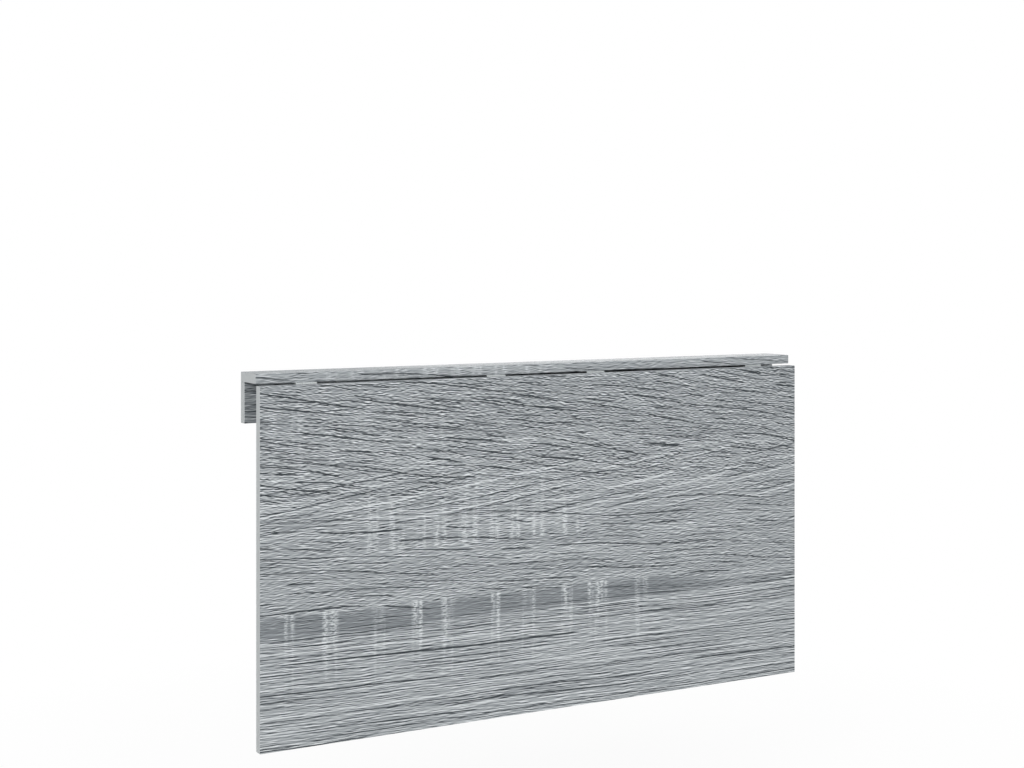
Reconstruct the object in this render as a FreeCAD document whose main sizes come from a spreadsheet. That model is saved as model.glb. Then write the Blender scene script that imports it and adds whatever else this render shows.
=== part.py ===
import FreeCAD, Part
import os
import re

import Sketcher
from FreeCAD import Placement, Rotation, Vector

# Wall mounted drop leaf table, folded: the rail and its post hang on the wall,
# the leaf hangs from the rail, and the swing gate lies flat between leaf and wall.
# X runs along the wall, the wall is the plane Y = 0 with the room at -Y, and Z is up.
# The origin is midway between the rail's two wall screw holes, on the wall.

SIZES = {
    # The table as it stands open
    "table_width": 1000,
    "table_depth": 600,
    "table_height": 560,
    "board_thickness": 15,
    "edge_radius": 0.8,
    # Rail: a top board on a wall board
    "rail_depth": 60,
    "wall_board_height": 62,
    "joint_gap": 1,
    # Wall post
    "post_width": 60,
    "post_offset": 10,
    # Swing gate
    "gate_reach": 455,
    "gate_height": 462,
    "gate_headroom": 0.6,
    "gate_setback": 1,
    "stile_width": 58,
    "arm_height": 50,
    "brace_width": 57,
    "brace_foot_rise": 20,
    "brace_tip_setback": 22,
    # Butt hinges of the leaf and of the gate
    "leaf_hinge_length": 34,
    "gate_hinge_length": 50,
    "hinge_plate_width": 19,
    "hinge_plate_thickness": 1,
    "hinge_pin_radius": 1,
    "pin_play": 0.05,
    "knuckle_gap": 0.3,
    "knuckle_share": 0.38,
    "outer_hinge_inset": 80,
    "inner_hinge_offset": 94,
    "upper_gate_hinge_drop": 50,
    "lower_gate_hinge_rise": 60,
    # Hinge screws
    "hinge_screw_radius": 1.25,
    "hinge_screw_head_radius": 2.05,
    "hinge_screw_length": 11,
    "hinge_screw_tip": 2,
    "screw_cross_length": 2.6,
    "screw_cross_width": 0.5,
    "screw_cross_depth": 0.8,
    "screw_play": 0.05,
    "screw_end_gap": 0.5,
    "screw_spread_share": 0.3,
    "screw_reach_share": 0.6,
    # Wooden dowels
    "dowel_radius": 4,
    "dowel_length": 30,
    "dowel_chamfer": 1,
    "dowel_play": 0.1,
    "dowel_end_gap": 1,
    "dowel_in_top_board": 10,
    "outer_dowel_inset": 70,
    "inner_dowel_offset": 150,
    "post_dowel_offset": 18,
    "arm_dowel_offset": 13,
    # Cam lock fittings between wall board and top board
    "cam_radius": 7.4,
    "cam_depth": 12,
    "cam_play": 0.1,
    "cam_inset": 34,
    "cam_cross_length": 8,
    "cam_cross_width": 1.6,
    "cam_cross_depth": 3,
    "cam_bolt_radius": 3,
    "cam_bolt_neck_radius": 2,
    "cam_bolt_head_length": 3,
    "cam_bolt_neck_length": 3,
    "cam_bolt_in_top_board": 10,
    "cam_bolt_play": 0.2,
    # Wall screw holes
    "wall_hole_radius": 3,
    "wall_hole_countersink": 2.5,
    "wall_hole_spacing": 400,
    "post_hole_drop": 70,
    "post_hole_spacing": 300,
    # Length by which a cutting shape passes the material that it cuts
    "cut_overrun": 1,
}

# Heights, planes and lines worked out from the sizes
PLACES = {
    "half_width": "table_width / 2",
    "rail_underside": "wall_board_height / 2",
    "rail_top": "rail_underside + board_thickness",
    "wall_board_foot": "-wall_board_height / 2",
    "board_middle": "board_thickness / 2",
    "knuckle_radius": "hinge_pin_radius + pin_play + hinge_plate_thickness",
    "screw_head_depth": "hinge_screw_head_radius - hinge_screw_radius",
    "screw_hole_radius": "hinge_screw_radius + screw_play",
    "screw_hole_depth": "hinge_screw_length - hinge_plate_thickness + screw_end_gap",
    "screw_reach": "hinge_plate_width * screw_reach_share",
    "leaf_screw_spread": "leaf_hinge_length * screw_spread_share",
    "gate_screw_spread": "gate_hinge_length * screw_spread_share",
    # Leaf pin, and the hanging leaf
    "leaf_pin_out": "rail_depth + joint_gap / 2",
    "leaf_pin_z": "rail_underside - knuckle_radius",
    "leaf_length": "table_depth - rail_depth - joint_gap",
    "leaf_back_out": "leaf_pin_out + knuckle_radius",
    "leaf_top": "leaf_pin_z - joint_gap / 2",
    "leaf_foot": "leaf_top - leaf_length",
    "outer_hinge_x": "half_width - outer_hinge_inset",
    # Post, gate pin and the folded gate
    "post_left": "post_offset - post_width / 2",
    "post_right": "post_offset + post_width / 2",
    "post_foot": "rail_top - table_height",
    "gate_pin_x": "post_offset + board_thickness / 2 + knuckle_radius",
    "gate_pin_out": "board_thickness + knuckle_radius",
    "gate_back_out": "board_thickness + 2 * knuckle_radius",
    "gate_left": "gate_pin_x + gate_setback",
    "gate_right": "gate_left + gate_reach",
    "stile_right": "gate_left + stile_width",
    "gate_top": "rail_underside - 2 * knuckle_radius - gate_headroom",
    "gate_foot": "gate_top - gate_height",
    "arm_foot": "gate_top - arm_height",
    "upper_gate_hinge_z": "wall_board_foot - upper_gate_hinge_drop",
    "lower_gate_hinge_z": "gate_foot + lower_gate_hinge_rise",
    # Brace corners: the outer edge runs from stile to arm, the inner edge is one width away
    "brace_foot": "gate_foot + brace_foot_rise",
    "brace_tip": "gate_right - brace_tip_setback",
    "brace_run": "brace_tip - stile_right",
    "brace_rise": "arm_foot - brace_foot",
    "brace_span": "sqrt(brace_run * brace_run + brace_rise * brace_rise)",
    "brace_top_cut": "brace_width * brace_span / brace_rise",
    "brace_side_cut": "brace_width * brace_span / brace_run",
    # Dowel and cam seats
    "outer_dowel_x": "half_width - outer_dowel_inset",
    "dowel_hole_radius": "dowel_radius + dowel_play",
    "dowel_half": "dowel_length / 2",
    "dowel_half_hole": "dowel_half + dowel_end_gap",
    "rail_dowel_foot": "rail_underside + dowel_in_top_board - dowel_length",
    "gate_middle_out": "gate_back_out + board_middle",
    "arm_dowel_z": "gate_top - arm_height / 2",
    "brace_side_dowel_z": "brace_foot + brace_side_cut / 2",
    "brace_top_dowel_x": "brace_tip - brace_top_cut / 2",
    "cam_x": "half_width - cam_inset",
    "cam_bolt_length": "rail_underside + cam_bolt_in_top_board",
    "cam_bolt_hole_radius": "cam_bolt_radius + cam_bolt_play",
    "post_hole_top": "wall_board_foot - post_hole_drop",
}

doc = FreeCAD.newDocument("DropLeafTable")
sheet = doc.addObject("Spreadsheet::Sheet", "Sizes")
for row, (alias, size) in enumerate(SIZES.items(), start=1):
    sheet.set(f"A{row}", alias)
    sheet.set(f"B{row}", str(size))
    sheet.setAlias(f"B{row}", alias)
doc.recompute()

pieces = []


def bind(formula):
    """Write a formula in named sizes and places as an expression on the sheet."""

    def named(match):
        word = match.group(0)
        if word in PLACES:
            return "(" + bind(PLACES[word]) + ")"
        return "Sizes." + word

    return re.sub(r"\b[a-z]\w*\b(?!\()", named, formula)


def value(formula):
    """Work out a formula's number in millimetres."""
    return float(sheet.evalExpression(bind(formula)))


def place(thing, x, y, z, turn=Rotation()):
    """Turn a piece and tie its place to the sheet."""
    thing.Placement = Placement(Vector(), turn)
    for axis, formula in zip("xyz", (x, y, z)):
        thing.setExpression(f"Placement.Base.{axis}", bind(formula))


def new_body(label):
    """Start a piece that is built from sketches."""
    body = doc.addObject("PartDesign::Body", label)
    body.Label = label
    return body


def new_sketch(body, plane, lift="0"):
    """Start a sketch on one of the body's own planes, lifted along the plane's normal."""
    sketch = body.newObject("Sketcher::SketchObject", "Sketch")
    support = next(f for f in body.Origin.OriginFeatures if f.Role == plane)
    sketch.AttachmentSupport = [(support, "")]
    sketch.MapMode = "FlatFace"
    sketch.setExpression("AttachmentOffset.Base.z", bind(lift))
    return sketch


def hold(sketch, geometry, vertex, u, v):
    """Tie a point of the sketch to the sheet."""
    for kind, formula in (("DistanceX", u), ("DistanceY", v)):
        rule = Sketcher.Constraint(kind, -1, 1, geometry, vertex, value(formula))
        index = sketch.addConstraint(rule)
        sketch.setExpression(f"Constraints[{index}]", bind(formula))


def outline(sketch, corners):
    """Draw a closed outline through corners given as pairs of formulas."""
    spots = [Vector(value(u), value(v), 0) for u, v in corners]
    first = sketch.GeometryCount
    for spot, following in zip(spots, spots[1:] + spots[:1]):
        sketch.addGeometry(Part.LineSegment(spot, following), False)
    for index, (u, v) in enumerate(corners):
        following = (index + 1) % len(corners)
        sketch.addConstraint(
            Sketcher.Constraint("Coincident", first + index, 2, first + following, 1)
        )
        hold(sketch, first + index, 1, u, v)


def box_corners(left, foot, right, top):
    """List the corners of an upright rectangle."""
    return [(left, foot), (right, foot), (right, top), (left, top)]


def rectangle(sketch, left, foot, right, top):
    """Draw a rectangle between two corners."""
    outline(sketch, box_corners(left, foot, right, top))


def circles(sketch, centres, radius):
    """Draw equal circles round the given centres."""
    for u, v in centres:
        ring = Part.Circle(Vector(value(u), value(v), 0), Vector(0, 0, 1), value(radius))
        index = sketch.addGeometry(ring, False)
        hold(sketch, index, 3, u, v)
        rule = sketch.addConstraint(Sketcher.Constraint("Radius", index, value(radius)))
        sketch.setExpression(f"Constraints[{rule}]", bind(radius))


def pad(body, sketch, length, reverse=False):
    """Raise a sketch into material."""
    feature = body.newObject("PartDesign::Pad", "Pad")
    feature.Profile = sketch
    feature.Reversed = reverse
    feature.setExpression("Length", bind(length))
    doc.recompute()
    return feature


def pocket(body, sketch, depth, reverse=False):
    """Cut a sketch out of the body, and make sure that material went away."""
    before = body.Shape.Volume
    feature = body.newObject("PartDesign::Pocket", "Pocket")
    feature.Profile = sketch
    feature.Reversed = reverse
    feature.setExpression("Length", bind(depth))
    doc.recompute()
    if not body.Shape.Volume < before:
        raise RuntimeError(f"{body.Label}: a pocket cut nothing")
    return feature


def drill(body, plane, lift, centres, radius, depth, reverse=False):
    """Drill equal holes from one plane of the body."""
    sketch = new_sketch(body, plane, lift)
    circles(sketch, centres, radius)
    return pocket(body, sketch, depth, reverse)


def rims(feature, radius, axis, level):
    """Name the round edges of one radius that lie in one plane across an axis."""
    names = []
    for index, edge in enumerate(feature.Shape.Edges, start=1):
        if edge.Degenerated or not isinstance(edge.Curve, Part.Circle):
            continue
        curve = edge.Curve
        same_size = abs(curve.Radius - value(radius)) < Part.Precision.confusion()
        same_plane = abs(curve.Center[axis] - value(level)) < Part.Precision.confusion()
        if same_size and same_plane:
            names.append(f"Edge{index}")
    return names


def countersink(body, feature, radius, axis, level, size):
    """Open the rims of drilled holes for screw heads."""
    chamfer = body.newObject("PartDesign::Chamfer", "Chamfer")
    chamfer.Base = (feature, rims(feature, radius, axis, level))
    chamfer.setExpression("Size", bind(size))
    doc.recompute()


def ease(body, feature):
    """Round every edge of a sawn board lightly, as its edge band is."""
    fillet = body.newObject("PartDesign::Fillet", "Fillet")
    fillet.Base = (feature, [f"Edge{n}" for n in range(1, len(feature.Shape.Edges) + 1)])
    fillet.setExpression("Radius", bind("edge_radius"))
    doc.recompute()


def board(label, corners, back_out):
    """Saw an upright board from its outline, with its back this far out from the wall."""
    body = new_body(label)
    sketch = new_sketch(body, "XZ_Plane", back_out)
    outline(sketch, corners)
    ease(body, pad(body, sketch, "board_thickness"))
    pieces.append(body)
    return body


def turned(label, corners):
    """Turn a profile of radius and height pairs about the Z axis."""
    body = new_body(label)
    sketch = new_sketch(body, "XZ_Plane")
    outline(sketch, corners)
    feature = body.newObject("PartDesign::Revolution", "Revolution")
    feature.Profile = sketch
    feature.ReferenceAxis = (sketch, ["V_Axis"])
    doc.recompute()
    return body


def cross_recess(body, plane, cross, reverse=False):
    """Cut a screwdriver's cross into the head that lies in one plane of the body."""
    long, wide = f"{cross}_length / 2", f"{cross}_width / 2"
    for u, v in ((long, wide), (wide, long)):
        slot = new_sketch(body, plane)
        rectangle(slot, f"-{u}", f"-{v}", u, v)
        pocket(body, slot, f"{cross}_depth", reverse)


def copy_of(master, x, y, z, turn=Rotation()):
    """Put one more of a repeated piece in its place."""
    link = doc.addObject("App::Link", master.Label + "_copy")
    link.LinkedObject = master
    place(link, x, y, z, turn)
    return link


def group(label, copies):
    """Gather equal fasteners under one name."""
    compound = doc.addObject("Part::Compound", label)
    compound.Label = label
    compound.Links = copies
    pieces.append(compound)


def both_sides(*offsets):
    """Give each offset along the wall and its mirror image."""
    return [sign + offset for offset in offsets for sign in ("-", "")]


leaf_hinges = both_sides("outer_hinge_x", "inner_hinge_offset")
gate_hinges = ["lower_gate_hinge_z", "upper_gate_hinge_z"]
rail_dowels = both_sides("outer_dowel_x", "inner_dowel_offset")
post_dowels = [f"post_offset {sign} post_dowel_offset" for sign in "-+"]
arm_dowels = [f"arm_dowel_z {sign} arm_dowel_offset" for sign in "-+"]
cams = both_sides("cam_x")
wall_holes = both_sides("wall_hole_spacing / 2")
post_holes = ["post_hole_top", "post_hole_top - post_hole_spacing"]
leaf_screws = [f"{x} {sign} leaf_screw_spread" for x in leaf_hinges for sign in "-+"]
gate_screws = [f"{z} {sign} gate_screw_spread" for z in gate_hinges for sign in "-+"]


def wall_board():
    """Upright board of the rail: it is screwed to the wall and carries the top board."""
    corners = box_corners("-half_width", "wall_board_foot", "half_width", "rail_underside")
    body = board("wall_board", corners, "0")
    drill(body, "XZ_Plane", "board_thickness", [(x, "0") for x in cams],
          "cam_radius + cam_play", "cam_depth + cam_play")
    middle = "-board_middle"
    drill(body, "XY_Plane", "rail_underside", [(x, middle) for x in cams],
          "cam_bolt_hole_radius", "rail_underside")
    drill(body, "XY_Plane", "rail_underside", [(x, middle) for x in rail_dowels],
          "dowel_hole_radius", "rail_underside - rail_dowel_foot + dowel_end_gap")
    drill(body, "XY_Plane", "wall_board_foot", [(x, middle) for x in post_dowels],
          "dowel_hole_radius", "dowel_half_hole", reverse=True)
    holes = drill(body, "XZ_Plane", "board_thickness", [(x, "0") for x in wall_holes],
                  "wall_hole_radius", "board_thickness")
    countersink(body, holes, "wall_hole_radius", 1, "-board_thickness", "wall_hole_countersink")


def rail_top_board():
    """Level board of the rail: the table's fixed edge, which the leaf hangs from."""
    body = new_body("rail_top_board")
    sketch = new_sketch(body, "XY_Plane", "rail_underside")
    rectangle(sketch, "-half_width", "-rail_depth", "half_width", "0")
    ease(body, pad(body, sketch, "board_thickness"))
    middle = "-board_middle"
    drill(body, "XY_Plane", "rail_underside", [(x, middle) for x in rail_dowels],
          "dowel_hole_radius", "dowel_in_top_board + dowel_end_gap", reverse=True)
    drill(body, "XY_Plane", "rail_underside", [(x, middle) for x in cams],
          "cam_bolt_hole_radius", "cam_bolt_in_top_board + dowel_end_gap", reverse=True)
    drill(body, "XY_Plane", "rail_underside",
          [(x, "screw_reach - leaf_pin_out") for x in leaf_screws],
          "screw_hole_radius", "screw_hole_depth", reverse=True)
    pieces.append(body)


def wall_post():
    """Post under the rail: it is screwed to the wall and carries the gate."""
    corners = box_corners("post_left", "post_foot", "post_right", "wall_board_foot")
    body = board("wall_post", corners, "0")
    drill(body, "XY_Plane", "wall_board_foot", [(x, "-board_middle") for x in post_dowels],
          "dowel_hole_radius", "dowel_half_hole")
    drill(body, "XZ_Plane", "board_thickness",
          [("gate_pin_x + screw_reach", z) for z in gate_screws],
          "screw_hole_radius", "screw_hole_depth")
    holes = drill(body, "XZ_Plane", "board_thickness", [("post_offset", z) for z in post_holes],
                  "wall_hole_radius", "board_thickness")
    countersink(body, holes, "wall_hole_radius", 1, "-board_thickness", "wall_hole_countersink")


def leaf_board():
    """The drop leaf, hanging."""
    corners = box_corners("-half_width", "leaf_foot", "half_width", "leaf_top")
    body = board("leaf_board", corners, "leaf_back_out")
    drill(body, "XZ_Plane", "leaf_back_out",
          [(x, "leaf_pin_z - screw_reach") for x in leaf_screws],
          "screw_hole_radius", "screw_hole_depth", reverse=True)


def gate_stile():
    """Upright strip of the gate, hinged to the post."""
    corners = box_corners("gate_left", "gate_foot", "stile_right", "gate_top")
    body = board("gate_stile", corners, "gate_back_out")
    drill(body, "XZ_Plane", "gate_back_out",
          [("gate_pin_x + screw_reach", z) for z in gate_screws],
          "screw_hole_radius", "screw_hole_depth", reverse=True)
    drill(body, "YZ_Plane", "stile_right",
          [("-gate_middle_out", z) for z in arm_dowels + ["brace_side_dowel_z"]],
          "dowel_hole_radius", "dowel_half_hole")


def gate_arm():
    """Level strip of the gate, which the raised leaf lies on."""
    corners = box_corners("stile_right", "arm_foot", "gate_right", "gate_top")
    body = board("gate_arm", corners, "gate_back_out")
    drill(body, "YZ_Plane", "stile_right", [("-gate_middle_out", z) for z in arm_dowels],
          "dowel_hole_radius", "dowel_half_hole", reverse=True)
    drill(body, "XY_Plane", "arm_foot", [("brace_top_dowel_x", "-gate_middle_out")],
          "dowel_hole_radius", "dowel_half_hole", reverse=True)


def gate_brace():
    """Slanting strip of the gate, between the stile's foot and the arm's tip."""
    corners = [
        ("stile_right", "brace_foot"),
        ("brace_tip", "arm_foot"),
        ("brace_tip - brace_top_cut", "arm_foot"),
        ("stile_right", "brace_foot + brace_side_cut"),
    ]
    body = board("gate_brace", corners, "gate_back_out")
    drill(body, "YZ_Plane", "stile_right", [("-gate_middle_out", "brace_side_dowel_z")],
          "dowel_hole_radius", "dowel_half_hole", reverse=True)
    drill(body, "XY_Plane", "arm_foot", [("brace_top_dowel_x", "-gate_middle_out")],
          "dowel_hole_radius", "dowel_half_hole")


def hinge_plate(label, length, outer_knuckles):
    """One half of a butt hinge: the pin runs along X, and the plate lies at -Y, screwed on at +Z."""
    body = new_body(label)
    blank = new_sketch(body, "YZ_Plane")
    rectangle(blank, "-hinge_plate_width", "hinge_pin_radius + pin_play", "0", "knuckle_radius")
    pad(body, blank, length)
    barrel = new_sketch(body, "YZ_Plane")
    circles(barrel, [("0", "0")], "knuckle_radius")
    pad(body, barrel, length)
    drill(body, "YZ_Plane", "0", [("0", "0")], "hinge_pin_radius + pin_play", length, reverse=True)
    notch = new_sketch(body, "XY_Plane", "knuckle_radius + cut_overrun")
    inner, outer = "-knuckle_radius - knuckle_gap", "knuckle_radius + cut_overrun"
    start = f"{length} * (1 - knuckle_share) / 2"
    stop = f"{length} * (1 + knuckle_share) / 2"
    half_gap = "knuckle_gap / 2"
    if outer_knuckles:
        rectangle(notch, f"{start} - {half_gap}", inner, f"{stop} + {half_gap}", outer)
    else:
        rectangle(notch, "-cut_overrun", inner, f"{start} + {half_gap}", outer)
        rectangle(notch, f"{stop} - {half_gap}", inner, f"{length} + cut_overrun", outer)
    pocket(body, notch, "2 * knuckle_radius + 2 * cut_overrun")
    face = "hinge_pin_radius + pin_play"
    places = [(f"{length} * (1 / 2 {sign} screw_spread_share)", "-screw_reach") for sign in "-+"]
    holes = drill(body, "XY_Plane", face, places, "screw_hole_radius", "hinge_plate_thickness",
                  reverse=True)
    countersink(body, holes, "screw_hole_radius", 2, face, "screw_head_depth")
    return body


def hinge_pin(label, length):
    """Plain pin of a butt hinge, along X."""
    body = new_body(label)
    sketch = new_sketch(body, "YZ_Plane")
    circles(sketch, [("0", "0")], "hinge_pin_radius")
    pad(body, sketch, length)
    return body


def named_copy(label, master, x, y, z, turn):
    """Place a repeated piece as a piece of its own."""
    link = copy_of(master, x, y, z, turn)
    link.Label = label
    pieces.append(link)


X, Y, Z = Vector(1, 0, 0), Vector(0, 1, 0), Vector(0, 0, 1)
UPRIGHT = Rotation()
FLAT_UNDER_RAIL = Rotation(-X, -Y, Z, "XYZ")
DOWN_THE_LEAF = Rotation(X, Z, -Y, "XYZ")
FLAT_ON_POST = Rotation(-Z, -X, Y, "XYZ")
FLAT_ON_STILE = Rotation(Z, -X, -Y, "XYZ")
INTO_THE_WALL = Rotation(X, -Z, Y, "XYZ")
INTO_THE_ROOM = Rotation(X, Z, -Y, "XYZ")
ALONG_THE_WALL = Rotation(-Z, Y, X, "XYZ")
UP_THE_POST = Rotation(Z, Y, -X, "XYZ")


def leaf_hinge_set():
    """Butt hinges between rail and leaf, from left to right."""
    rail_half = hinge_plate("rail_hinge_half", "leaf_hinge_length", outer_knuckles=True)
    leaf_half = hinge_plate("leaf_hinge_half", "leaf_hinge_length", outer_knuckles=False)
    pin = hinge_pin("leaf_hinge_shaft", "leaf_hinge_length")
    y, z = "-leaf_pin_out", "leaf_pin_z"
    order = sorted(leaf_hinges, key=value)
    for number, x in enumerate(order, start=1):
        left, right = f"{x} - leaf_hinge_length / 2", f"{x} + leaf_hinge_length / 2"
        named_copy(f"leaf_hinge_{number}_rail_plate", rail_half, right, y, z, FLAT_UNDER_RAIL)
        named_copy(f"leaf_hinge_{number}_leaf_plate", leaf_half, left, y, z, DOWN_THE_LEAF)
        named_copy(f"leaf_hinge_{number}_pin", pin, left, y, z, UPRIGHT)


def gate_hinge_set():
    """Butt hinges between post and gate, the lower one first."""
    post_half = hinge_plate("post_hinge_half", "gate_hinge_length", outer_knuckles=True)
    gate_half = hinge_plate("gate_hinge_half", "gate_hinge_length", outer_knuckles=False)
    pin = hinge_pin("gate_hinge_shaft", "gate_hinge_length")
    x, y = "gate_pin_x", "-gate_pin_out"
    for name, z in zip(("lower", "upper"), gate_hinges):
        foot, head = f"{z} - gate_hinge_length / 2", f"{z} + gate_hinge_length / 2"
        named_copy(f"gate_hinge_{name}_post_plate", post_half, x, y, head, FLAT_ON_POST)
        named_copy(f"gate_hinge_{name}_gate_plate", gate_half, x, y, foot, FLAT_ON_STILE)
        named_copy(f"gate_hinge_{name}_pin", pin, x, y, foot, UP_THE_POST)


def hinge_screws():
    """Countersunk screws of all hinges, one group for each board that they hold in."""
    tip_start = "hinge_screw_length - hinge_screw_tip"
    screw = turned("hinge_screw", [
        ("0", "0"),
        ("hinge_screw_head_radius", "0"),
        ("hinge_screw_radius", "screw_head_depth"),
        ("hinge_screw_radius", tip_start),
        ("0", "hinge_screw_length"),
    ])
    cross_recess(screw, "XY_Plane", "screw_cross", reverse=True)
    plate = "hinge_plate_thickness"
    group("rail_hinge_screws", [
        copy_of(screw, x, "screw_reach - leaf_pin_out", f"rail_underside - {plate}", UPRIGHT)
        for x in leaf_screws
    ])
    group("leaf_hinge_screws", [
        copy_of(screw, x, f"{plate} - leaf_back_out", "leaf_pin_z - screw_reach", INTO_THE_ROOM)
        for x in leaf_screws
    ])
    group("post_hinge_screws", [
        copy_of(screw, "gate_pin_x + screw_reach", f"-board_thickness - {plate}", z, INTO_THE_WALL)
        for z in gate_screws
    ])
    group("gate_hinge_screws", [
        copy_of(screw, "gate_pin_x + screw_reach", f"{plate} - gate_back_out", z, INTO_THE_ROOM)
        for z in gate_screws
    ])


def dowels():
    """Wooden dowels in the butt joints of rail, post and gate."""
    dowel = turned("dowel", [
        ("0", "0"),
        ("dowel_radius - dowel_chamfer", "0"),
        ("dowel_radius", "dowel_chamfer"),
        ("dowel_radius", "dowel_length - dowel_chamfer"),
        ("dowel_radius - dowel_chamfer", "dowel_length"),
        ("0", "dowel_length"),
    ])
    middle = "-board_middle"
    group("rail_dowels", [copy_of(dowel, x, middle, "rail_dowel_foot") for x in rail_dowels])
    group("post_dowels", [
        copy_of(dowel, x, middle, "wall_board_foot - dowel_half") for x in post_dowels
    ])
    start = "stile_right - dowel_half"
    level = [
        copy_of(dowel, start, "-gate_middle_out", z, ALONG_THE_WALL)
        for z in arm_dowels + ["brace_side_dowel_z"]
    ]
    standing = copy_of(dowel, "brace_top_dowel_x", "-gate_middle_out", "arm_foot - dowel_half")
    group("gate_dowels", level + [standing])


def cam_fittings():
    """Cam locks in the wall board's face, and the bolts that they draw the top board down with."""
    cam = new_body("cam")
    disc = new_sketch(cam, "XZ_Plane")
    circles(disc, [("0", "0")], "cam_radius")
    pad(cam, disc, "cam_depth", reverse=True)
    cross_recess(cam, "XZ_Plane", "cam_cross")
    drill(cam, "XY_Plane", "cam_radius", [("0", "board_middle")], "cam_bolt_hole_radius", "cam_radius")
    bolt = turned("cam_bolt", [
        ("0", "cam_play"),
        ("cam_bolt_radius", "cam_play"),
        ("cam_bolt_radius", "cam_bolt_head_length"),
        ("cam_bolt_neck_radius", "cam_bolt_head_length"),
        ("cam_bolt_neck_radius", "cam_bolt_head_length + cam_bolt_neck_length"),
        ("cam_bolt_radius", "cam_bolt_head_length + cam_bolt_neck_length"),
        ("cam_bolt_radius", "cam_bolt_length"),
        ("0", "cam_bolt_length"),
    ])
    group("cam_locks", [copy_of(cam, x, "-board_thickness", "0") for x in cams])
    group("cam_bolts", [copy_of(bolt, x, "-board_middle", "0") for x in cams])


wall_board()
rail_top_board()
wall_post()
leaf_board()
gate_stile()
gate_arm()
gate_brace()
leaf_hinge_set()
gate_hinge_set()
hinge_screws()
dowels()
cam_fittings()
doc.recompute()

for thing in doc.Objects:
    if {"Invalid", "Error"} & set(thing.State):
        raise RuntimeError(f"{thing.Label} failed: {thing.State}")
shapes = {piece.Label: Part.getShape(piece) for piece in pieces}
for label, shape in shapes.items():
    if shape.isNull() or not shape.isValid():
        raise RuntimeError(f"{label} has no valid shape")

os.makedirs("parts", exist_ok=True)
for label, shape in shapes.items():
    shape.exportStep(os.path.join("parts", label + ".step"))
    print(label, len(shape.Solids), round(shape.Volume))
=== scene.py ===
"""Looks of a wall mounted drop leaf table of grey oak boards, folded against the wall."""

import logging
import math
from collections.abc import Iterable, Mapping
from dataclasses import dataclass
from enum import Enum
from typing import Any, Protocol

import bmesh
import bpy
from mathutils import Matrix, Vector


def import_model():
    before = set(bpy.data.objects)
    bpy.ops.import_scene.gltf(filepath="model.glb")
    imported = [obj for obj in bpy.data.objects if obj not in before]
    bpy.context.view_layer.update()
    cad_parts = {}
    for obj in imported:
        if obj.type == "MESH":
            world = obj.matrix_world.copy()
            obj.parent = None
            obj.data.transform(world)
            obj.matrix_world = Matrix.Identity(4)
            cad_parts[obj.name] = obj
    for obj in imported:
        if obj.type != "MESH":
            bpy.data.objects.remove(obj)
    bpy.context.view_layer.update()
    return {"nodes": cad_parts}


log = logging.getLogger("drop_leaf_table")

MM = 0.001
Colour = tuple[float, float, float, float]
Levels = tuple[float, float]
Place = tuple[float, float, float]
Size = tuple[float, float]
Node = bpy.types.Node
Tone = Node | float
Tree = bpy.types.NodeTree
Nodes = Mapping[str, bpy.types.Object]

WHITE: Colour = (1.0, 1.0, 1.0, 1.0)

# Inputs of the Map Range and Mix nodes go by number, since several of them share one name.
VALUE, FROM_MIN, FROM_MAX, TO_MIN, TO_MAX = range(5)
SHARE, NUMBER_A, NUMBER_B, COLOUR_A, COLOUR_B = 0, 2, 3, 6, 7
MIXED_COLOUR = 2

# Numbers of finer layers in a noise.
SOFT, FINE = 1.0, 2.0


def linear(code: str) -> Colour:
    """Turn an sRGB hex code into the linear colour that the shaders read.

    Args:
        code: Colour as "#rrggbb".

    Returns:
        Linear red, green and blue, and an alpha of 1.
    """
    parts = [int(code[start:start + 2], 16) / 255 for start in (1, 3, 5)]
    red, green, blue = (
        part / 12.92 if part <= 0.04045 else ((part + 0.055) / 1.055) ** 2.4 for part in parts
    )
    return red, green, blue, 1.0


def add_node(
    tree: Tree,
    kind: str,
    inputs: Mapping[int | str, Any] | None = None,
    **settings: Any,
) -> Node:
    """Add a shader node with its settings, and feed its inputs.

    Args:
        tree: Node tree that gets the node.
        kind: Node's type, without Blender's "ShaderNode".
        inputs: Value, output socket or node for each input, by name or number.
        settings: Properties of the node.

    Returns:
        The new node.
    """
    node = tree.nodes.new("ShaderNode" + kind)
    for name, setting in settings.items():
        setattr(node, name, setting)
    for key, source in (inputs or {}).items():
        if isinstance(source, bpy.types.Node):
            source = source.outputs[0]
        if isinstance(source, bpy.types.NodeSocket):
            tree.links.new(source, node.inputs[key])
        else:
            node.inputs[key].default_value = source
    return node


def stretched_noise(
    tree: Tree,
    place: Node,
    size_mm: Size,
    detail: float = 0.0,
    start: tuple[float, float] = (0.0, 0.0),
    slope: float = 0.0,
) -> Node:
    """Add flat noise whose clouds are stretched along the grain.

    Args:
        tree: Node tree of the finish.
        place: Place on the print, in metres.
        size_mm: Length and width of one cloud.
        detail: Number of finer layers in the noise.
        start: Place that the noise starts from, in metres.
        slope: Slope of the clouds against the grain, in degrees.

    Returns:
        Noise from 0 to 1 that stays near 0.5.
    """
    length, width = size_mm
    clouds = add_node(tree, "Mapping", {
        "Vector": place, "Location": (*start, 0.0),
        "Rotation": (0.0, 0.0, math.radians(slope)),
        "Scale": (length * MM, width * MM, 1.0),
    }, vector_type="TEXTURE")
    return add_node(tree, "TexNoise", {
        "Vector": clouds, "Scale": 1.0, "Detail": detail,
    }, noise_dimensions="2D")


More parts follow.
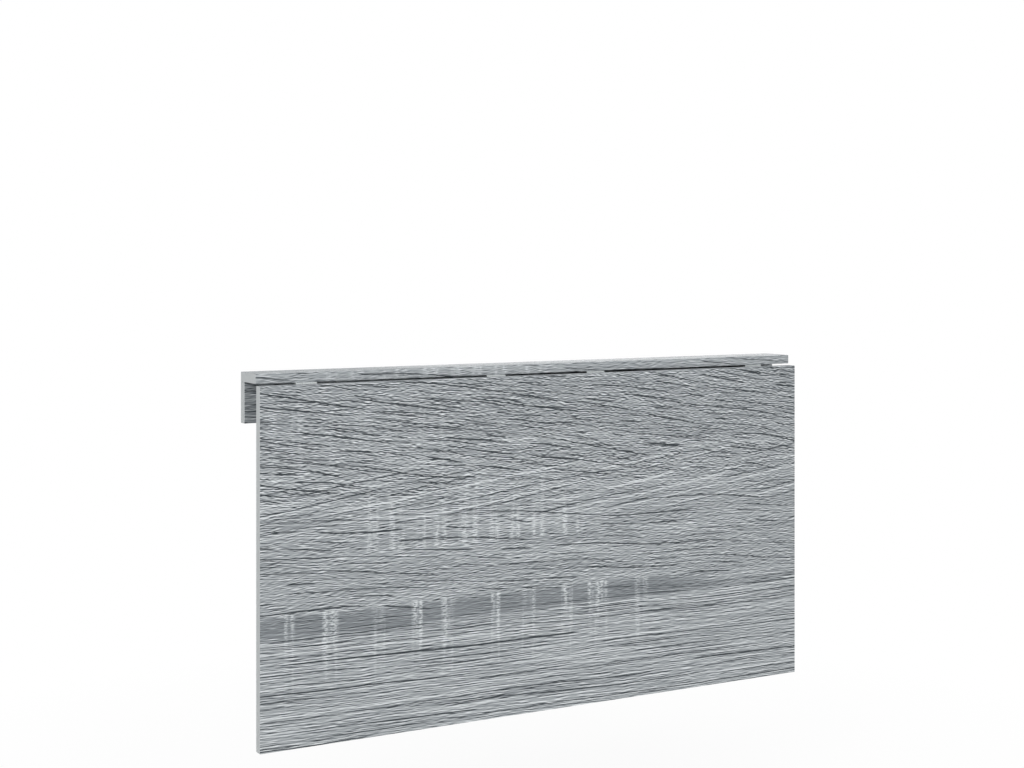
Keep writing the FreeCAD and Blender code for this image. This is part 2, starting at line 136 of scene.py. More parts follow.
def strip_mask(tree: Tree, line: Node, middle_mm: float, reach_mm: float) -> Node:
    """Mask a strip of the print that fades out at its two borders.

    Args:
        tree: Node tree of the finish.
        line: Place across the strip, in metres.
        middle_mm: Middle of the strip.
        reach_mm: Distance from its middle to its border.

    Returns:
        1 inside the strip and 0 outside.
    """
    full_share = 0.6
    off = add_node(tree, "Math", {0: line, 1: middle_mm * MM}, operation="SUBTRACT")
    away = add_node(tree, "Math", {0: off}, operation="ABSOLUTE")
    return add_node(tree, "MapRange", {
        VALUE: away, FROM_MIN: reach_mm * MM, FROM_MAX: reach_mm * full_share * MM,
    }, interpolation_type="SMOOTHSTEP")


def new_material(name: str) -> bpy.types.Material:
    """Make an empty material that is drawn by nodes.

    Args:
        name: Name of the material.

    Returns:
        The material, with no node in it.
    """
    material = bpy.data.materials.new(name)
    material.use_nodes = True
    material.node_tree.nodes.clear()
    return material


def dress(nodes: Nodes, names: Iterable[str], material: bpy.types.Material) -> None:
    """Give CAD pieces a finish.

    Args:
        nodes: CAD objects by name.
        names: Names of the pieces.
        material: Finish for all of them.
    """
    for name in names:
        slots = nodes[name].data.materials
        slots.clear()
        slots.append(material)
        log.info("%s: %s", name, material.name)


class Grain(Enum):
    """Slope of the printed grain on an upright board, in degrees above the level."""

    LEVEL = 0.0
    SLANTING = 46.27
    UPRIGHT = 90.0

    @property
    def direction(self) -> Vector:
        """Unit vector along the grain."""
        slope = math.radians(self.value)
        return Vector((math.cos(slope), 0.0, math.sin(slope)))


class Face(Enum):
    """Way that one broad face of a board looks. On that face the print is moved along."""

    WALL = (0.0, 1.0, 0.0)
    UP = (0.0, 0.0, 1.0)


@dataclass(frozen=True)
class Cut:
    """The part of the printed foil that a board shows."""

    grain: Grain = Grain.LEVEL
    face: Face = Face.WALL
    along_mm: float = 0.0
    across_mm: float = 0.0


@dataclass(frozen=True)
class Spot:
    """A place on the print, held by nodes of a board's finish, in metres.

    The bent place across the grain follows the grain where it wanders. The two vectors hold the
    place along the grain with the straight and with the bent place across it.
    """

    tree: Tree
    along: Node
    across: Node
    bent: Node
    flat: Node
    grain: Node


@dataclass(frozen=True)
class Wash:
    """A wide strip of the print that is darker or paler than the rest."""

    middle_mm: float
    reach_mm: float
    tone: float

    def draw(self, spot: Spot, tone: Tone) -> Node:
        """Shade the strip.

        Args:
            spot: Place on the print.
            tone: Tone without the wash.

        Returns:
            Tone with the wash.
        """
        strip = strip_mask(spot.tree, spot.bent, self.middle_mm, self.reach_mm)
        return add_node(spot.tree, "Math", {
            0: strip, 1: self.tone, 2: tone,
        }, operation="MULTIPLY_ADD")


@dataclass(frozen=True)
class Fibres:
    """Fine strokes along the grain, each dark one with a pale one beside it.

    Fibres with a reach lie only in a strip of the print, that far above and below its middle.
    """

    length_mm: float
    width_mm: float
    contrast: float
    slope: float = -1.5
    middle_mm: float = 0.0
    reach_mm: float = 0.0

    def draw(self, spot: Spot, number: int, patch: Node, tone: Tone) -> Node:
        """Draw the fibres.

        Args:
            spot: Place on the print.
            number: Number of this kind, which gives it noise of its own.
            patch: Strength of all fibres at this place.
            tone: Tone without the fibres.

        Returns:
            Tone with the fibres.
        """
        tree = spot.tree
        step_along, step_across, widths_beside = 0.31, 0.17, 1.3
        pale_shift = self.width_mm * widths_beside * MM
        dark, pale = (
            stretched_noise(
                tree, spot.grain, (self.length_mm, self.width_mm), slope=self.slope,
                start=(step_along * number, step_across * number + beside),
            )
            for beside in (0.0, pale_shift)
        )
        mark = add_node(tree, "Math", {0: pale, 1: dark}, operation="SUBTRACT")
        force = add_node(tree, "Math", {0: patch, 1: self.contrast}, operation="MULTIPLY")
        if self.reach_mm:
            strip = strip_mask(tree, spot.bent, self.middle_mm, self.reach_mm)
            force = add_node(tree, "Math", {0: strip, 1: force}, operation="MULTIPLY")
        return add_node(tree, "Math", {0: mark, 1: force, 2: tone}, operation="MULTIPLY_ADD")


@dataclass(frozen=True)
class Lines:
    """Thin broken lines that follow the growth rings in a strip of the print.

    A line breaks off where the noise along it falls below a level.
    """

    spacing_mm: float
    thick_mm: float
    dash_mm: float
    slope: float
    tone: float
    middle_mm: float
    reach_mm: float
    break_level: float

    def draw(self, spot: Spot, number: int, tone: Tone) -> Node:
        """Draw the lines.

        Args:
            spot: Place on the print.
            number: Number of this kind, which gives it noise of its own.
            tone: Tone without the lines.

        Returns:
            Tone with the lines.
        """
        tree = spot.tree
        step_along, half_spacing, blur, break_fade = 0.23, 0.5, 0.2, 0.1
        # The lines wander by about one spacing, over two or three dashes.
        sway_spacings, sway_scale = 1.2, 0.4
        spread = add_node(tree, "Mapping", {
            "Vector": spot.grain, "Location": (step_along * number, 0.0, 0.0),
            "Rotation": (0.0, 0.0, math.radians(self.slope)),
            "Scale": (self.dash_mm * MM, self.spacing_mm * MM, 1.0),
        }, vector_type="TEXTURE")
        sway, dash = (
            add_node(tree, "TexNoise", {
                "Vector": spread, "Scale": scale, "Detail": 0.0,
            }, noise_dimensions="2D")
            for scale in (sway_scale, 1.0)
        )
        count = add_node(tree, "Math", {
            0: sway, 1: sway_spacings,
            2: add_node(tree, "SeparateXYZ", {0: spread}).outputs["Y"],
        }, operation="MULTIPLY_ADD")
        off = add_node(tree, "Math", {0: count, 1: half_spacing}, operation="PINGPONG")
        half = self.thick_mm / self.spacing_mm / 2
        line = add_node(tree, "MapRange", {
            VALUE: off, FROM_MIN: half * (1 + blur), FROM_MAX: half * (1 - blur), TO_MAX: self.tone,
        })
        kept = add_node(tree, "MapRange", {
            VALUE: dash, FROM_MIN: self.break_level, FROM_MAX: self.break_level + break_fade,
        })
        for part in (kept, strip_mask(tree, spot.bent, self.middle_mm, self.reach_mm)):
            line = add_node(tree, "Math", {0: line, 1: part}, operation="MULTIPLY")
        return add_node(tree, "Math", {0: line, 1: tone}, operation="ADD")


@dataclass(frozen=True)
class SawNoise:
    """Unevenness that all rows of saw marks share, held by nodes.

    It moves the marks along the grain, sets how far each one drops and how strong it is, and breaks
    it into specks.
    """

    shift: Node
    drop: Node
    force: Node
    specks: Node


@dataclass(frozen=True)
class SawRow:
    """A row of pale marks that a band saw left across the grain.

    The marks hang down from one line, or stand up on it where their drop is negative. Each is a
    pair of bands.
    """

    line_mm: float
    drop_mm: float
    spacing_mm: float
    middle_mm: float
    reach_mm: float
    lime: float
    pair_mm: float = 6.0
    band_reach_mm: float = 8.0
    band_core_mm: float = 2.0
    start_mm: Levels = (-4.0, 2.0)

    def draw(self, spot: Spot, noise: SawNoise, tone: Tone) -> Node:
        """Draw the row of marks.

        Args:
            spot: Place on the print.
            noise: Unevenness of the marks.
            tone: Tone without the marks.

        Returns:
            Tone with the marks.
        """
        tree = spot.tree
        moved = add_node(tree, "Math", {
            0: noise.shift, 1: self.spacing_mm * MM, 2: spot.along,
        }, operation="MULTIPLY_ADD")
        off = add_node(tree, "Math", {0: moved, 1: self.spacing_mm / 2 * MM}, operation="PINGPONG")
        beside = add_node(tree, "Math", {0: off, 1: self.pair_mm * MM}, operation="SUBTRACT")
        band = add_node(tree, "MapRange", {
            VALUE: add_node(tree, "Math", {0: beside}, operation="ABSOLUTE"),
            FROM_MIN: self.band_reach_mm * MM, FROM_MAX: self.band_core_mm * MM,
        })
        below = add_node(tree, "Math", {
            0: self.line_mm * MM, 1: spot.across,
        }, operation="SUBTRACT")
        foot = add_node(tree, "Math", {
            0: noise.drop, 1: 2 * self.drop_mm * MM,
        }, operation="MULTIPLY")
        fade = add_node(tree, "MapRange", {
            VALUE: below, FROM_MIN: 0.0, FROM_MAX: foot, TO_MIN: 1.0, TO_MAX: 0.0,
        })
        way = math.copysign(MM, self.drop_mm)
        first, full = self.start_mm
        under = add_node(tree, "MapRange", {
            VALUE: below, FROM_MIN: first * way, FROM_MAX: full * way,
        })
        mask = strip_mask(tree, spot.along, self.middle_mm, self.reach_mm)
        for part in (band, fade, under, noise.force, noise.specks):
            mask = add_node(tree, "Math", {0: mask, 1: part}, operation="MULTIPLY")
        return add_node(tree, "Math", {
            0: mask, 1: self.lime, 2: tone,
        }, operation="MULTIPLY_ADD")


@dataclass(frozen=True)
class Streak:
    """A dark streak along the grain, where the print is smoother."""

    line_mm: float = -331.0
    reach_mm: float = 20.0
    middle_mm: float = -200.0
    length_mm: float = 600.0
    tone: float = 0.2
    force: float = 0.5

    def draw(self, spot: Spot, tone: Tone) -> Node:
        """Draw the streak.

        Args:
            spot: Place on the print.
            tone: Tone without the streak.

        Returns:
            Tone with the streak.
        """
        tree = spot.tree
        streak = add_node(tree, "Math", {
            0: strip_mask(tree, spot.across, self.line_mm, self.reach_mm),
            1: strip_mask(tree, spot.along, self.middle_mm, self.length_mm),
        }, operation="MULTIPLY")
        share = add_node(tree, "Math", {0: streak, 1: self.force}, operation="MULTIPLY")
        return add_node(tree, "Mix", {SHARE: share, NUMBER_A: tone, NUMBER_B: self.tone})


@dataclass(frozen=True)
class GreyOakFoil:
    """Matt melamine foil on chipboard, printed as limed grey oak.

    The eye sees a cool grey of fine fibres, with dark open pores, longer cracks that lean with the
    growth rings, pale lime in the grain and rows of saw marks across it. The board's ends have a
    plain band in a lighter grey.
    """

    # Colours of the print, and the tone that each stands for, from a pore at 0 to lime at 1.
    pore: str = "#30363a"
    pore_tone: float = 0.05
    shade: str = "#787d81"
    shade_tone: float = 0.34
    body: str = "#999ea1"
    body_tone: float = 0.52
    lime: str = "#d8dcde"
    lime_tone: float = 0.95
    plain_tone: float = 0.5
    # The long edges show the print flatter and a little paler.
    edge_contrast: float = 0.7
    edge_lift: float = 0.2
    # The band on the ends.
    band: str = "#c0c4c5"
    band_shade: str = "#b4b8b9"
    band_fleck_mm: float = 3.0
    # Cosines between which a surface turns into a face or an end.
    turned: Levels = (0.6, 0.8)
    # The two faces of a board show different lengths of the print. From this cosine on, the print
    # is moved along by this much.
    moved_from: float = 0.5
    moved_mm: float = 430.0
    # The pores are pressed in lightly, and are duller than the lime.
    pore_depth_mm: float = 0.25
    pore_relief: float = 0.2
    pore_roughness: float = 0.66
    lime_roughness: float = 0.5
    refraction: float = 1.5
    sheen: float = 0.35
    # The grain wanders a little across the board.
    drift_size_mm: Size = (230.0, 60.0)
    drift_mm: float = 6.0
    # The fibres are stronger in some patches than in others.
    patch_size_mm: Size = (26.0, 6.0)
    patch_levels: Levels = (0.3, 0.7)
    patch_swing: float = 0.6
    # Sizes of the unevenness in the saw marks, and the noise levels between which it acts.
    saw_start: tuple[float, float] = (0.2, 0.4)
    speck_size_mm: Size = (7.0, 2.2)
    speck_levels: Levels = (0.40, 0.54)
    speck_least: float = 0.08
    column_size_mm: Size = (14.0, 160.0)
    column_levels: Levels = (0.38, 0.6)
    column_least: float = 0.3
    shift_size_mm: Size = (90.0, 3000.0)
    streak: Streak = Streak()
    washes: tuple[Wash, ...] = (Wash(28.0, 120.0, -0.04), Wash(-440.0, 100.0, 0.02))
    # Real pores are 0.3 mm wide. Fibres and lines are drawn 1.25 to 2.2 mm wide, as coarse as the
    # photograph shows them. One kind of fibre is 15 mm wide, and gives soft broad bands.
    fibres: tuple[Fibres, ...] = (
        Fibres(16.0, 1.3, 0.46),
        Fibres(36.0, 1.3, 0.40),
        Fibres(150.0, 2.2, 0.20),
        Fibres(260.0, 15.0, 0.13),
        Fibres(9.0, 1.3, 0.76, -5.0, -40.0, 150.0),
        Fibres(13.0, 1.3, 0.60, 3.0, -215.0, 140.0),
        Fibres(60.0, 1.45, 0.54, -0.4, -435.0, 130.0),
        Fibres(170.0, 1.6, 0.36, -0.4, -435.0, 130.0),
    )
    lines: tuple[Lines, ...] = (
        Lines(13.0, 1.35, 100.0, -9.0, -1.75, -50.0, 95.0, 0.46),
        Lines(9.0, 1.25, 50.0, -8.0, -1.15, -54.0, 105.0, 0.49),
        Lines(17.0, 2.2, 260.0, 7.0, 0.32, -150.0, 55.0, 0.40),
        Lines(12.0, 1.6, 170.0, 7.0, -0.40, -150.0, 58.0, 0.41),
        Lines(13.0, 1.3, 90.0, -4.0, -1.30, -250.0, 90.0, 0.48),
        Lines(10.0, 1.4, 200.0, -0.4, -0.80, -435.0, 130.0, 0.47),
        Lines(15.0, 2.0, 300.0, -0.4, 0.26, -420.0, 110.0, 0.42),
    )
    saw_rows: tuple[SawRow, ...] = (
        SawRow(-313.0, 95.0, 70.0, -190.0, 480.0, 0.50),
        SawRow(-229.0, -110.0, 43.0, -140.0, 260.0, 0.34),
        SawRow(-10.0, 150.0, 52.0, -380.0, 260.0, 0.17),
    )

    def make(self, name: str, cut: Cut) -> bpy.types.Material:
        """Print one board.

        Args:
            name: Name of the material.
            cut: Part of the print that the board shows.

        Returns:
            The board's finish.
        """
        material = new_material(name)
        tree = material.node_tree
        place = add_node(tree, "TexCoord")
        facing, ending = (
            add_node(tree, "VectorMath", {
                0: place.outputs["Normal"], 1: way,
            }, operation="DOT_PRODUCT").outputs["Value"]
            for way in (cut.face.value, cut.grain.direction)
        )
        first, full = self.turned
        face, end = (
            add_node(tree, "MapRange", {
                VALUE: add_node(tree, "Math", {0: way}, operation="ABSOLUTE"),
                FROM_MIN: first, FROM_MAX: full,
            })
            for way in (facing, ending)
        )
        tone = self._print(self._spot(tree, place, facing, cut))
        edge_tone = add_node(tree, "Math", {
            0: tone, 1: self.edge_contrast, 2: self.edge_lift,
        }, operation="MULTIPLY_ADD")
        tone = add_node(tree, "Mix", {SHARE: face, NUMBER_A: edge_tone, NUMBER_B: tone})
        fleck = add_node(tree, "TexNoise", {
            "Vector": place.outputs["Object"], "Detail": FINE,
            "Scale": 1 / (self.band_fleck_mm * MM),
        })
        band = add_node(tree, "Mix", {
            SHARE: fleck, COLOUR_A: linear(self.band_shade), COLOUR_B: linear(self.band),
        }, data_type="RGBA")
        colour = add_node(tree, "Mix", {
            SHARE: end, COLOUR_A: self._inks(tree, tone), COLOUR_B: band.outputs[MIXED_COLOUR],
        }, data_type="RGBA")
        height = add_node(tree, "Mix", {SHARE: end, NUMBER_A: tone, NUMBER_B: fleck})
        bump = add_node(tree, "Bump", {
            "Strength": self.pore_relief, "Distance": self.pore_depth_mm * MM, "Height": height,
        })
        rough = add_node(tree, "MapRange", {
            VALUE: height, TO_MIN: self.pore_roughness, TO_MAX: self.lime_roughness,
        })
        shader = add_node(tree, "BsdfPrincipled", {
            "Base Color": colour.outputs[MIXED_COLOUR], "Roughness": rough,
            "IOR": self.refraction, "Specular IOR Level": self.sheen, "Normal": bump,
        })
        add_node(tree, "OutputMaterial", {"Surface": shader})
        return material

    def _spot(
        self, tree: Tree, place: Node, facing: bpy.types.NodeSocket, cut: Cut
    ) -> Spot:
        """Lay the print on the board.

        Args:
            tree: Node tree of the board's finish.
            place: Node with the place on the board.
            facing: Cosine between the surface and the board's face.
            cut: Part of the print that the board shows.

        Returns:
            Place on the print.
        """
        laid = add_node(tree, "Mapping", {
            "Vector": place.outputs["Object"],
            "Location": (cut.along_mm * MM, 0.0, cut.across_mm * MM),
            "Rotation": (0.0, math.radians(cut.grain.value), 0.0),
        })
        axes = add_node(tree, "SeparateXYZ", {0: laid})
        moved = add_node(tree, "Math", {0: facing, 1: self.moved_from}, operation="GREATER_THAN")
        along = add_node(tree, "Math", {
            0: moved, 1: self.moved_mm * MM, 2: axes.outputs["X"],
        }, operation="MULTIPLY_ADD")
        across = add_node(tree, "Math", {
            0: axes.outputs["Y"], 1: axes.outputs["Z"],
        }, operation="ADD")
        flat = add_node(tree, "CombineXYZ", {0: along, 1: across})
        drift = stretched_noise(tree, flat, self.drift_size_mm, detail=SOFT)
        bent = add_node(tree, "Math", {
            0: drift, 1: self.drift_mm * MM, 2: across,
        }, operation="MULTIPLY_ADD")
        grain = add_node(tree, "CombineXYZ", {0: along, 1: bent})
        return Spot(tree, along, across, bent, flat, grain)

    def _print(self, spot: Spot) -> Tone:
        """Draw washes, fibres, lines, streak and saw marks over each other.

        Args:
            spot: Place on the print.

        Returns:
            Tone from 0, an open pore, to 1, bare lime.
        """
        tree = spot.tree
        weak, strong = self.patch_levels
        patch = add_node(tree, "MapRange", {
            VALUE: stretched_noise(tree, spot.grain, self.patch_size_mm, detail=SOFT),
            FROM_MIN: weak, FROM_MAX: strong,
            TO_MIN: 1 - self.patch_swing, TO_MAX: 1 + self.patch_swing,
        })
        tone: Tone = self.plain_tone
        for wash in self.washes:
            tone = wash.draw(spot, tone)
        for number, fibres in enumerate(self.fibres):
            tone = fibres.draw(spot, number, patch, tone)
        for number, lines in enumerate(self.lines):
            tone = lines.draw(spot, number, tone)
        tone = self.streak.draw(spot, tone)
        noise = self._saw_noise(spot)
        for row in self.saw_rows:
            tone = row.draw(spot, noise, tone)
        return tone

    def _saw_noise(self, spot: Spot) -> SawNoise:
        """Make the unevenness of the saw marks.

        Args:
            spot: Place on the print.

        Returns:
            Noise that all rows of marks share.
        """
        tree = spot.tree
        speck, column, shift = (
            stretched_noise(tree, spot.flat, size_mm, detail=SOFT, start=self.saw_start)
            for size_mm in (self.speck_size_mm, self.column_size_mm, self.shift_size_mm)
        )
        force, specks = (
            add_node(tree, "MapRange", {
                VALUE: noise, FROM_MIN: levels[0], FROM_MAX: levels[1], TO_MIN: least,
            })
            for noise, levels, least in (
                (column, self.column_levels, self.column_least),
                (speck, self.speck_levels, self.speck_least),
            )
        )
        return SawNoise(shift, column, force, specks)

    def _inks(self, tree: Tree, tone: Node) -> Node:
        """Turn tones of the print into its colours.

        Args:
            tree: Node tree of the board's finish.
            tone: Tone of the print.

        Returns:
            Colour of the print.
        """
        ramp = add_node(tree, "ValToRGB", {0: tone})
        stops = ramp.color_ramp.elements
        stops.remove(stops[0])
        stops[0].position, stops[0].color = self.pore_tone, linear(self.pore)
        for level, colour in (
            (self.shade_tone, self.shade), (self.body_tone, self.body), (self.lime_tone, self.lime),
        ):
            stops.new(level).color = linear(colour)
        return ramp


@dataclass(frozen=True)
class ZincPlatedSteel:
    """Pressed or turned steel with bright zinc plating.

    The eye sees a pale, slightly blue metal with soft highlights and the fine lines of rolling.
    """

    bright: str = "#b2b6b6"
    dull: str = "#a0a4a5"
    line_length_mm: float = 14.0
    # Rolling lines are about 0.05 mm apart. They are drawn 0.6 mm apart, so that they show.
    line_width_mm: float = 0.6
    line_depth_mm: float = 0.03
    line_relief: float = 0.2
    roughness: float = 0.52
    roughness_swing: float = 0.1

    def make(self, name: str) -> bpy.types.Material:
        """Make the metal.

        Args:
            name: Name of the material.

        Returns:
            The plated finish.
        """
        material = new_material(name)
        tree = material.node_tree
        across = 1 / (self.line_width_mm * MM)
        noise = add_node(tree, "TexNoise", {
            "Vector": add_node(tree, "Mapping", {
                "Vector": add_node(tree, "TexCoord").outputs["Object"],
                "Scale": (1 / (self.line_length_mm * MM), across, across),
            }), "Scale": 1.0, "Detail": FINE,
        })
        colour = add_node(tree, "Mix", {
            SHARE: noise, COLOUR_A: linear(self.dull), COLOUR_B: linear(self.bright),
        }, data_type="RGBA")
        rough = add_node(tree, "MapRange", {
            VALUE: noise,
            TO_MIN: self.roughness + self.roughness_swing,
            TO_MAX: self.roughness - self.roughness_swing,
        })
        bump = add_node(tree, "Bump", {
            "Strength": self.line_relief, "Distance": self.line_depth_mm * MM, "Height": noise,
        })
        shader = add_node(tree, "BsdfPrincipled", {
            "Base Color": colour.outputs[MIXED_COLOUR], "Metallic": 1.0, "Roughness": rough,
            "Normal": bump,
        })
        add_node(tree, "OutputMaterial", {"Surface": shader})
        return material


@dataclass(frozen=True)
class TurnedBeech:
    """Beech dowel rod, turned and left bare.

    The eye sees a warm pale brown with short darker flecks along the grain.
    """

    wood: str = "#cfa77c"
    fleck: str = "#a67a50"
    fleck_length_mm: float = 3.0
    fleck_width_mm: float = 0.5
    fleck_levels: Levels = (0.5, 0.7)
    fleck_depth_mm: float = 0.05
    fleck_relief: float = 0.3
    roughness: float = 0.65

    def make(self, name: str) -> bpy.types.Material:
        """Make the wood.

        Args:
            name: Name of the material.

        Returns:
            The bare wood.
        """
        material = new_material(name)
        tree = material.node_tree
        across = 1 / (self.fleck_width_mm * MM)
        noise = add_node(tree, "TexNoise", {
            "Vector": add_node(tree, "Mapping", {
                "Vector": add_node(tree, "TexCoord").outputs["Object"],
                "Scale": (across, across, 1 / (self.fleck_length_mm * MM)),
            }), "Scale": 1.0, "Detail": FINE,
        })
        first, full = self.fleck_levels
        flecks = add_node(tree, "MapRange", {VALUE: noise, FROM_MIN: first, FROM_MAX: full})
        colour = add_node(tree, "Mix", {
            SHARE: flecks, COLOUR_A: linear(self.wood), COLOUR_B: linear(self.fleck),
        }, data_type="RGBA")
        bump = add_node(tree, "Bump", {
            "Strength": self.fleck_relief, "Distance": self.fleck_depth_mm * MM, "Height": noise,
        })
        shader = add_node(tree, "BsdfPrincipled", {
            "Base Color": colour.outputs[MIXED_COLOUR], "Roughness": self.roughness,
            "Normal": bump,
        })
        add_node(tree, "OutputMaterial", {"Surface": shader})
        return material


class SubAssembly(Protocol):
    """A group of pieces that knows its own finishes."""

    def dress(self, nodes: Nodes) -> None:
        """Finish the group's pieces."""


@dataclass
class WallRail:
    """The fixed rail: a level top board on an upright wall board, with the post under it."""

    foil: GreyOakFoil
    top_cut: Cut = Cut(face=Face.UP, along_mm=60.0, across_mm=-196.0)
    wall_cut: Cut = Cut(along_mm=-240.0, across_mm=-300.0)
    post_cut: Cut = Cut(grain=Grain.UPRIGHT, along_mm=210.0, across_mm=-425.0)

    def dress(self, nodes: Nodes) -> None:
        """Print the rail's boards and the post.

        Args:
            nodes: CAD objects by name.
        """
        dress(nodes, ["rail_top_board"], self.foil.make("grey_oak_rail_top", self.top_cut))
        dress(nodes, ["wall_board"], self.foil.make("grey_oak_wall_board", self.wall_cut))
        dress(nodes, ["wall_post"], self.foil.make("grey_oak_post", self.post_cut))


@dataclass
class DropLeaf:
    """The leaf, whose broad face shows the whole width of the print."""

    foil: GreyOakFoil
    cut: Cut = Cut(across_mm=77.5)

    def dress(self, nodes: Nodes) -> None:
        """Print the leaf."""
        dress(nodes, ["leaf_board"], self.foil.make("grey_oak_leaf", self.cut))


@dataclass
class SwingGate:
    """The gate behind the leaf: stile, arm and slanting brace."""

    foil: GreyOakFoil
    stile_cut: Cut = Cut(grain=Grain.UPRIGHT, along_mm=-150.0, across_mm=-395.0)
    arm_cut: Cut = Cut(along_mm=130.0, across_mm=-410.0)
    brace_cut: Cut = Cut(grain=Grain.SLANTING, along_mm=330.0, across_mm=180.0)

    def dress(self, nodes: Nodes) -> None:
        """Print the gate's three strips.

        Args:
            nodes: CAD objects by name.
        """
        dress(nodes, ["gate_stile"], self.foil.make("grey_oak_stile", self.stile_cut))
        dress(nodes, ["gate_arm"], self.foil.make("grey_oak_arm", self.arm_cut))
        dress(nodes, ["gate_brace"], self.foil.make("grey_oak_brace", self.brace_cut))


@dataclass
class ButtHinges:
    """The butt hinges of leaf and gate, with their pins and screws."""

    plate: ZincPlatedSteel = ZincPlatedSteel()
    screw: ZincPlatedSteel = ZincPlatedSteel(bright="#c4c5c1", dull="#adaeaa", roughness=0.36)

    def dress(self, nodes: Nodes) -> None:
        """Plate the hinges and their screws.

        Args:
            nodes: CAD objects by name.
        """
        metal = [name for name in nodes if "hinge" in name]
        screws = [name for name in metal if name.endswith("screws")]
        dress(nodes, screws, self.screw.make("zinc_plated_screws"))
        plates = [name for name in metal if name not in screws]
        dress(nodes, plates, self.plate.make("zinc_plated_hinges"))


@dataclass
class JointFittings:
    """Dowels and cam fittings that hold the boards together."""

    dowel: TurnedBeech = TurnedBeech()
    # Cast zinc has short flecks in place of rolling lines.
    cam: ZincPlatedSteel = ZincPlatedSteel(
        bright="#c9cbcb", dull="#b3b6b6", line_length_mm=0.8, roughness=0.6
    )

    def dress(self, nodes: Nodes) -> None:
        """Finish dowels, cams and cam bolts.

        Args:
            nodes: CAD objects by name.
        """
        dowels = [name for name in nodes if name.endswith("dowels")]
        dress(nodes, dowels, self.dowel.make("turned_beech"))
        dress(nodes, ["cam_locks", "cam_bolts"], self.cam.make("cast_zinc"))


@dataclass(frozen=True)
class SoftBox:
    """A large soft lamp that looks at the table's middle, with its place and side in metres."""

    name: str
    place: Place
    side: float
    watts: float


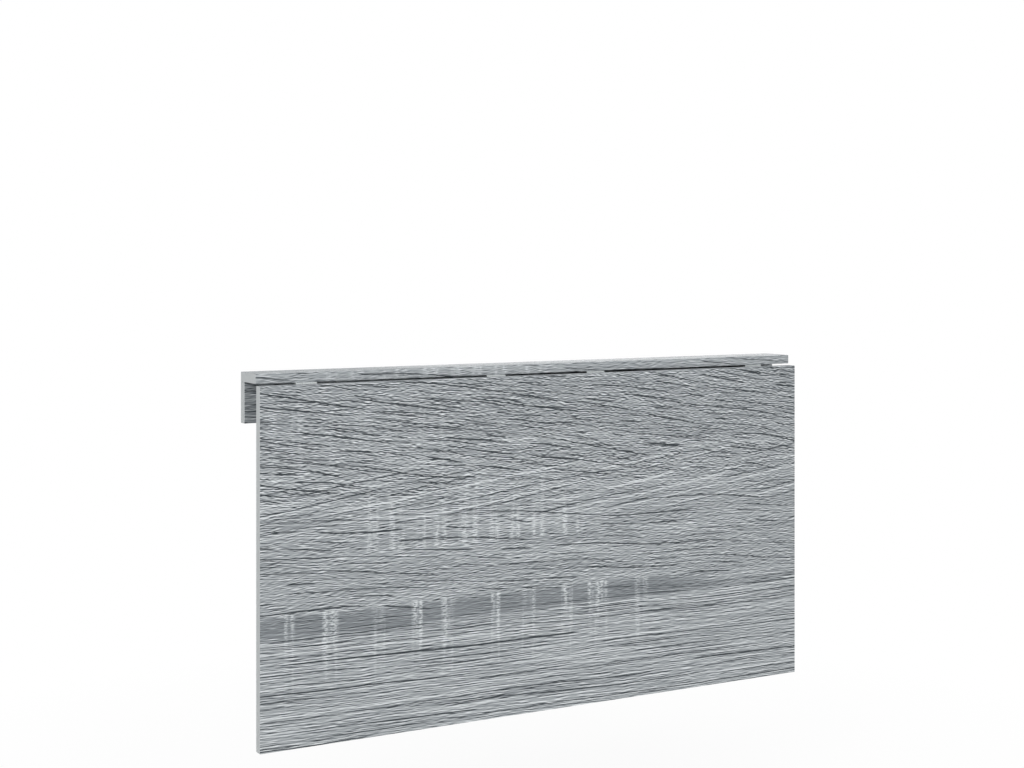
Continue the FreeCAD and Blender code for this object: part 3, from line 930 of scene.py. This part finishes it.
@dataclass
class Studio:
    """White room round the table, with soft lamps, a pale floor and the camera."""

    # A table top stands about 740 mm above the floor.
    floor_z: float = -0.694
    floor_side: float = 14.0
    floor_paint: str = "#f2f2f2"
    # To the eye the floor is this share of plain white near the table, and all white farther off.
    floor_white: float = 0.9
    floor_fade: Levels = (0.3, 1.3)
    ambient: float = 0.42
    aim: Place = (0.0, -0.04, -0.23)
    lamps: tuple[SoftBox, ...] = (
        SoftBox("key_lamp", (-2.7, -1.7, 1.3), 1.6, 39.0),
        SoftBox("fill_lamp", (0.9, -3.2, 0.6), 2.0, 32.0),
        SoftBox("top_lamp", (-0.2, -0.5, 2.6), 1.8, 23.0),
        SoftBox("rear_lamp", (1.9, 2.3, 0.6), 1.8, 28.0),
    )
    camera_place: Place = (-1.4184, -2.4154, 0.2150)
    camera_yaw: float = 29.904
    focal_px: float = 1696.0
    horizon_px: float = 259.3
    frame_px: tuple[int, int] = (1024, 768)

    def build(self) -> None:
        """Set up the whole studio, with colours shown as they are written."""
        bpy.context.scene.view_settings.view_transform = "Standard"
        self._floor()
        self._world()
        self._light_lamps()
        self._camera()

    def _white_where_seen(self, tree: Tree) -> Node:
        """Find the rays that should meet plain white: those of the eye, of gloss and through glass.

        Args:
            tree: Node tree of the world or the floor.

        Returns:
            1 for such a ray and 0 for others.
        """
        path = add_node(tree, "LightPath")
        seen = add_node(tree, "Math", {
            0: path.outputs["Is Camera Ray"], 1: path.outputs["Is Glossy Ray"],
        }, operation="MAXIMUM")
        return add_node(tree, "Math", {
            0: seen, 1: path.outputs["Is Transmission Ray"],
        }, operation="MAXIMUM")

    def _world(self) -> None:
        """Light the table softly from all sides, before a white background."""
        world = bpy.data.worlds.new("white_studio")
        world.use_nodes = True
        tree = world.node_tree
        tree.nodes.clear()
        room = add_node(tree, "Background", {"Color": WHITE, "Strength": self.ambient})
        white = add_node(tree, "Background", {"Color": WHITE, "Strength": 1.0})
        both = add_node(tree, "MixShader", {0: self._white_where_seen(tree), 1: room, 2: white})
        add_node(tree, "OutputWorld", {"Surface": both})
        bpy.context.scene.world = world

    def _light_lamps(self) -> None:
        """Hang the lamps."""
        for box in self.lamps:
            data = bpy.data.lights.new(box.name, "AREA")
            data.shape, data.size, data.energy = "SQUARE", box.side, box.watts
            lamp = bpy.data.objects.new(box.name, data)
            lamp.location = box.place
            way = Vector(self.aim) - Vector(box.place)
            lamp.rotation_euler = way.to_track_quat("-Z", "Y").to_euler()
            bpy.context.scene.collection.objects.link(lamp)
            log.info("%s: %.0f W", box.name, box.watts)

    def _floor(self) -> None:
        """Lay the pale floor."""
        shape = bmesh.new()
        bmesh.ops.create_grid(shape, x_segments=1, y_segments=1, size=self.floor_side / 2)
        mesh = bpy.data.meshes.new("floor")
        shape.to_mesh(mesh)
        shape.free()
        mesh.materials.append(self._floor_finish())
        floor = bpy.data.objects.new("floor", mesh)
        floor.location.z = self.floor_z
        bpy.context.scene.collection.objects.link(floor)

    def _floor_finish(self) -> bpy.types.Material:
        """Paint the floor, which is white to the eye apart from a faint shadow.

        Returns:
            The floor's finish, which can't be seen from below.
        """
        material = new_material("white_floor")
        tree = material.node_tree
        paint = add_node(tree, "BsdfDiffuse", {"Color": linear(self.floor_paint)})
        glow = add_node(tree, "Emission", {"Color": WHITE, "Strength": 1.0})
        away = add_node(tree, "VectorMath", {
            0: add_node(tree, "TexCoord").outputs["Object"],
        }, operation="LENGTH").outputs["Value"]
        near, far = self.floor_fade
        plain = add_node(tree, "MapRange", {
            VALUE: away, FROM_MIN: near, FROM_MAX: far, TO_MIN: self.floor_white, TO_MAX: 1.0,
        })
        share = add_node(tree, "Math", {
            0: self._white_where_seen(tree), 1: plain,
        }, operation="MULTIPLY")
        top = add_node(tree, "MixShader", {0: share, 1: paint, 2: glow})
        below = add_node(tree, "MixShader", {
            0: add_node(tree, "NewGeometry").outputs["Backfacing"], 1: top,
            2: add_node(tree, "BsdfTransparent"),
        })
        add_node(tree, "OutputMaterial", {"Surface": below})
        return material

    def _camera(self) -> None:
        """Stand the camera level where the photograph was taken from, with its frame moved down."""
        wide, high = self.frame_px
        data = bpy.data.cameras.new("camera")
        data.sensor_fit = "HORIZONTAL"
        data.lens = data.sensor_width * self.focal_px / wide
        data.shift_y = (self.horizon_px - high / 2) / wide
        camera = bpy.data.objects.new("camera", data)
        camera.location = self.camera_place
        camera.rotation_euler = (math.radians(90.0), 0.0, -math.radians(self.camera_yaw))
        bpy.context.scene.collection.objects.link(camera)
        bpy.context.scene.camera = camera


@dataclass
class DropLeafTable:
    """The whole table."""

    foil: GreyOakFoil = GreyOakFoil()

    def parts(self) -> list[SubAssembly]:
        """Name the sub-assemblies."""
        boards = [WallRail(self.foil), DropLeaf(self.foil), SwingGate(self.foil)]
        return [*boards, ButtHinges(), JointFittings()]

    def dress(self, nodes: Nodes) -> None:
        """Finish every sub-assembly."""
        for part in self.parts():
            part.dress(nodes)


def main() -> None:
    """Load the table, finish it and set up the studio."""
    logging.basicConfig(level=logging.INFO, format="%(message)s")
    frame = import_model()
    DropLeafTable().dress(frame["nodes"])
    Studio().build()


if __name__ == "__main__":
    main()
